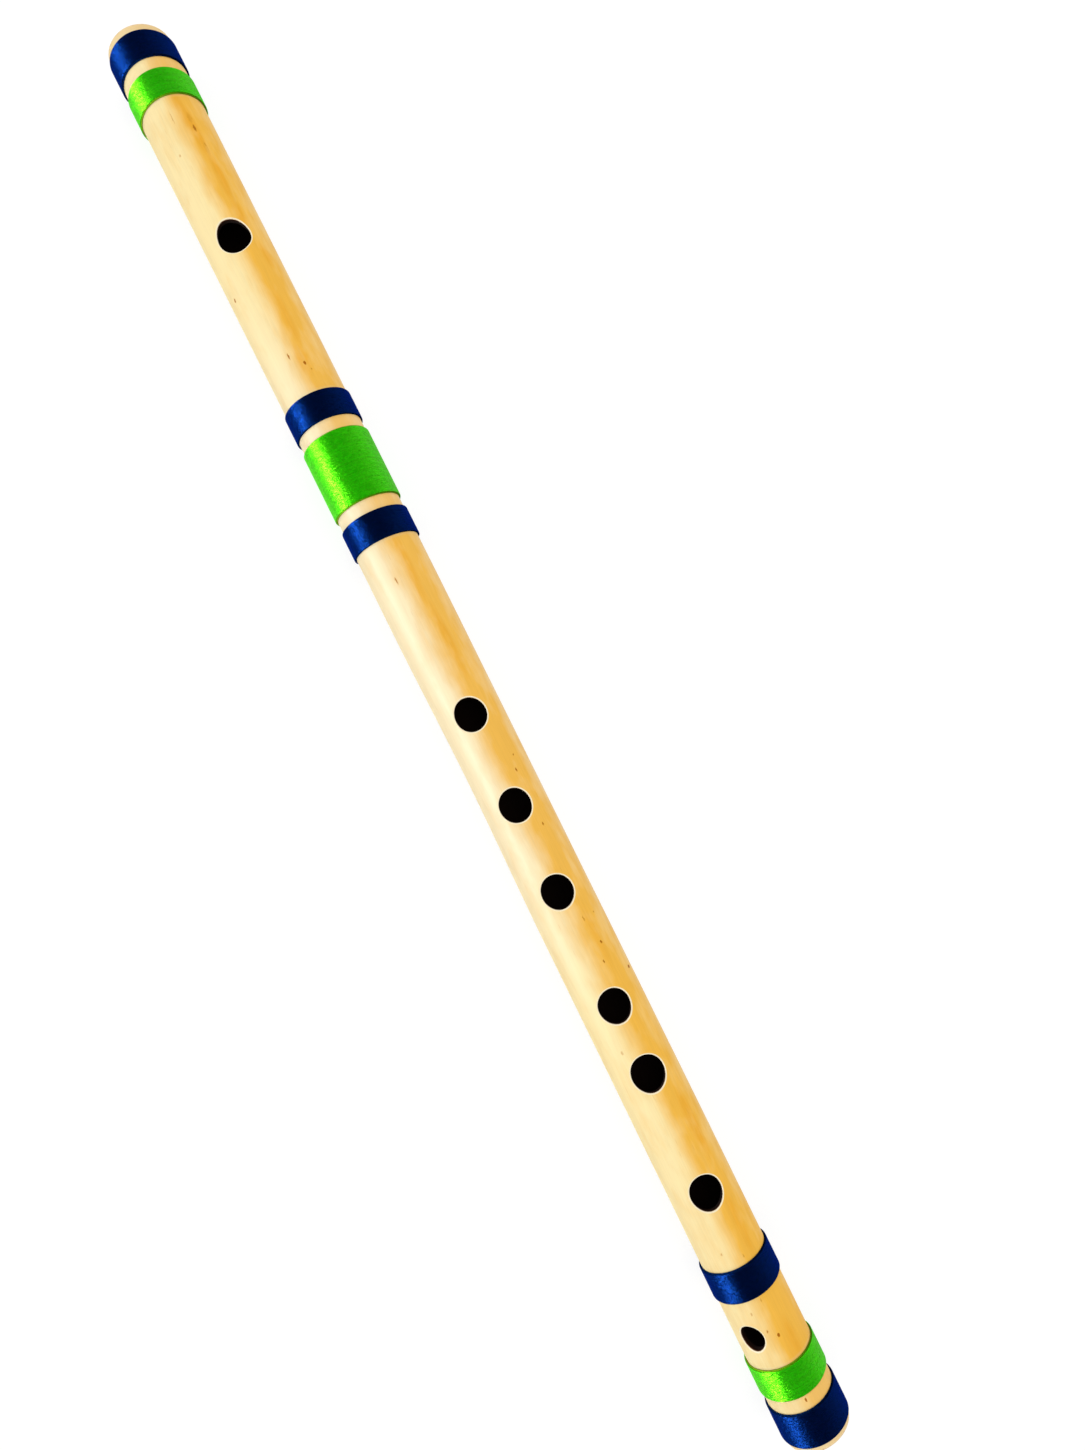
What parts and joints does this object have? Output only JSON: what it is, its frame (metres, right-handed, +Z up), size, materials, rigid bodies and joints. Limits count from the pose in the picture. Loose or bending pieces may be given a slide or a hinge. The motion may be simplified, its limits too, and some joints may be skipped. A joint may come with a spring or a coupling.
{
  "type": "bansuri",
  "caption": "Side-blown bamboo flute, a straight tube with a blow hole, a row of finger holes and a side hole, bound with blue and green thread and closed inside by a sliding cork stopper.",
  "frame": {"origin": "on the surface that the flute lies on, under the middle of its length and width", "axes": "+X along the flute towards its foot end, +Z up out of the finger holes, -Y the side that the small side hole is turned to"},
  "size_m": [0.48, 0.0232, 0.0224],
  "materials": {
    "bamboo": "smooth cream to golden bamboo with a thin satin varnish, fine lengthwise fibres and a few brown flecks, bore and hole walls burnt dark",
    "blue_thread": "close-wound dark blue silk-like thread with a satin sheen",
    "green_thread": "close-wound bright green silk-like thread with a satin sheen",
    "cork": "fine-grained natural cork, matt"
  },
  "bodies": {
    "flute": {"bamboo_tube": "bamboo", "head_blue_binding": "blue_thread", "head_green_binding": "green_thread", "middle_head_side_blue_binding": "blue_thread", "middle_green_binding": "green_thread", "middle_foot_side_blue_binding": "blue_thread", "lower_blue_binding": "blue_thread", "foot_green_binding": "green_thread", "foot_blue_binding": "blue_thread"},
    "stopper": {"cork_stopper": "cork"}
  },
  "joints": [
    {"name": "stopper_slide", "type": "slide", "parent": "flute", "child": "stopper", "axis": [1, 0, 0], "range_m": [-0.005, 0.005]}
  ]
}
